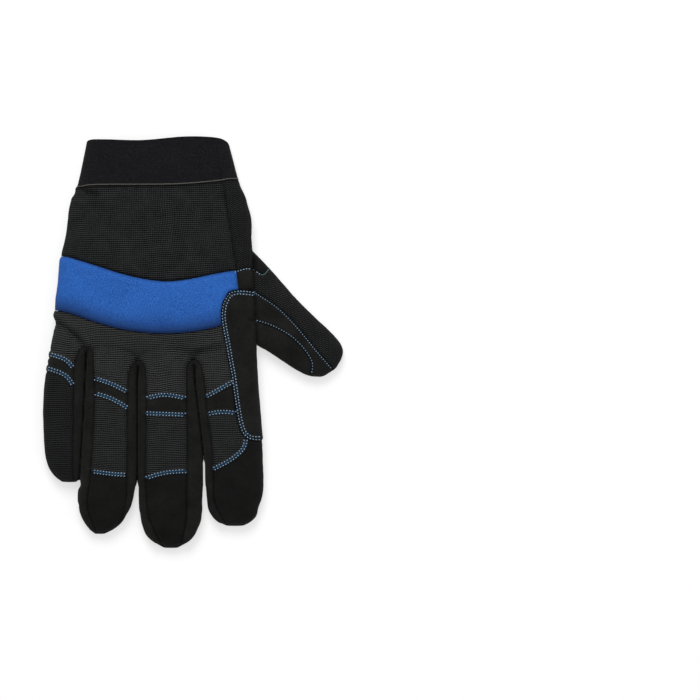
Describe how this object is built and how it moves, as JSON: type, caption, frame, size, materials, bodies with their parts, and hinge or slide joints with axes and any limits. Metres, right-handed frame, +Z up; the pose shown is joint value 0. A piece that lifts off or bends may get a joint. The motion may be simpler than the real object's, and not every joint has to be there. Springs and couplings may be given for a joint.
{
  "type": "winch glove",
  "caption": "Hollow full-finger work glove lying on its palm, sewn from knit and suede panels, with a padded band over the knuckles and a short elastic cuff.",
  "frame": {"origin": "on the surface the glove lies on, below the middle of its bounding box", "axes": "+Y from the fingertips to the cuff, +Z up through the back of the hand, +X towards the thumb"},
  "size_m": [0.179, 0.2458, 0.0232],
  "materials": {
    "knit": "fine rib knit",
    "suede": "synthetic suede",
    "elastic": "matt elastic webbing",
    "foam": "smooth stretch fabric over foam",
    "welt": "bound edge"
  },
  "bodies": {
    "root": {"cuff": "elastic", "cuff_welt": "welt", "knuckle_band": "foam", "back_panel": "knit", "side_panel": "knit", "knuckle_panel": "knit", "little_back": "knit", "ring_back": "knit", "middle_back": "knit", "index_back": "knit", "thumb_back": "knit", "little_root": "knit", "index_patch": "suede", "fourchette_little_ring": "suede", "fourchette_ring_middle": "suede", "fourchette_middle_index": "suede", "thumb_gusset": "suede", "little_strip": "suede", "ring_strip": "suede", "middle_strip": "suede", "index_strip": "suede", "ring_tip": "suede", "middle_tip": "suede", "index_tip": "suede", "thumb_heel": "suede", "thumb_strip": "suede", "thumb_inner": "suede", "palm": "suede", "thumb_palm": "suede"}
  },
  "joints": []
}
